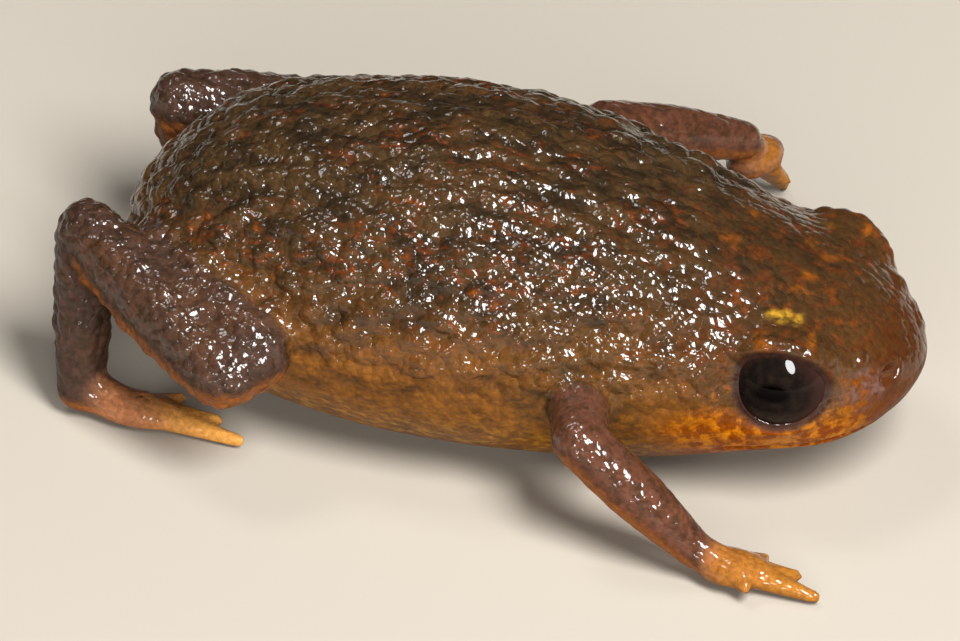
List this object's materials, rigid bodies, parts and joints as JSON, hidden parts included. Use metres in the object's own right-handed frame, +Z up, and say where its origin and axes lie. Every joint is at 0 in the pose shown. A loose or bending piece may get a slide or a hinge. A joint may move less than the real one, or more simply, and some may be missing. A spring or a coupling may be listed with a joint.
{
  "type": "brachycephalus olivaceus toadlet model",
  "caption": "Life-size still model of a small glossy, warty toadlet that rests on its belly with its limbs splayed.",
  "frame": {"origin": "on the floor, in the flat under the middle of the belly", "axes": "+X towards the snout, +Y towards the animal's left side, +Z up"},
  "size_m": [0.0127, 0.0108, 0.0049],
  "materials": {
    "trunk_skin": "wet, glossy granular skin, dark olive brown with rust and ochre mottling",
    "head_skin": "wet, glossy skin, olive brown above and orange along the jaw",
    "limb_skin": "wet, glossy granular skin, purplish brown with orange edges",
    "digit_skin": "wet, glossy thin skin, translucent orange",
    "eye": "wet, glossy black eyeball"
  },
  "bodies": {
    "root": {"torso": "trunk_skin", "head": "head_skin", "eye_left": "eye", "eye_right": "eye", "upper_arm_left": "limb_skin", "upper_arm_right": "limb_skin", "forearm_left": "limb_skin", "forearm_right": "limb_skin", "hand_left": "digit_skin", "hand_right": "digit_skin", "leg_left": "limb_skin", "leg_right": "limb_skin", "tarsus_left": "limb_skin", "tarsus_right": "limb_skin", "foot_left": "digit_skin", "foot_right": "digit_skin"}
  },
  "joints": []
}
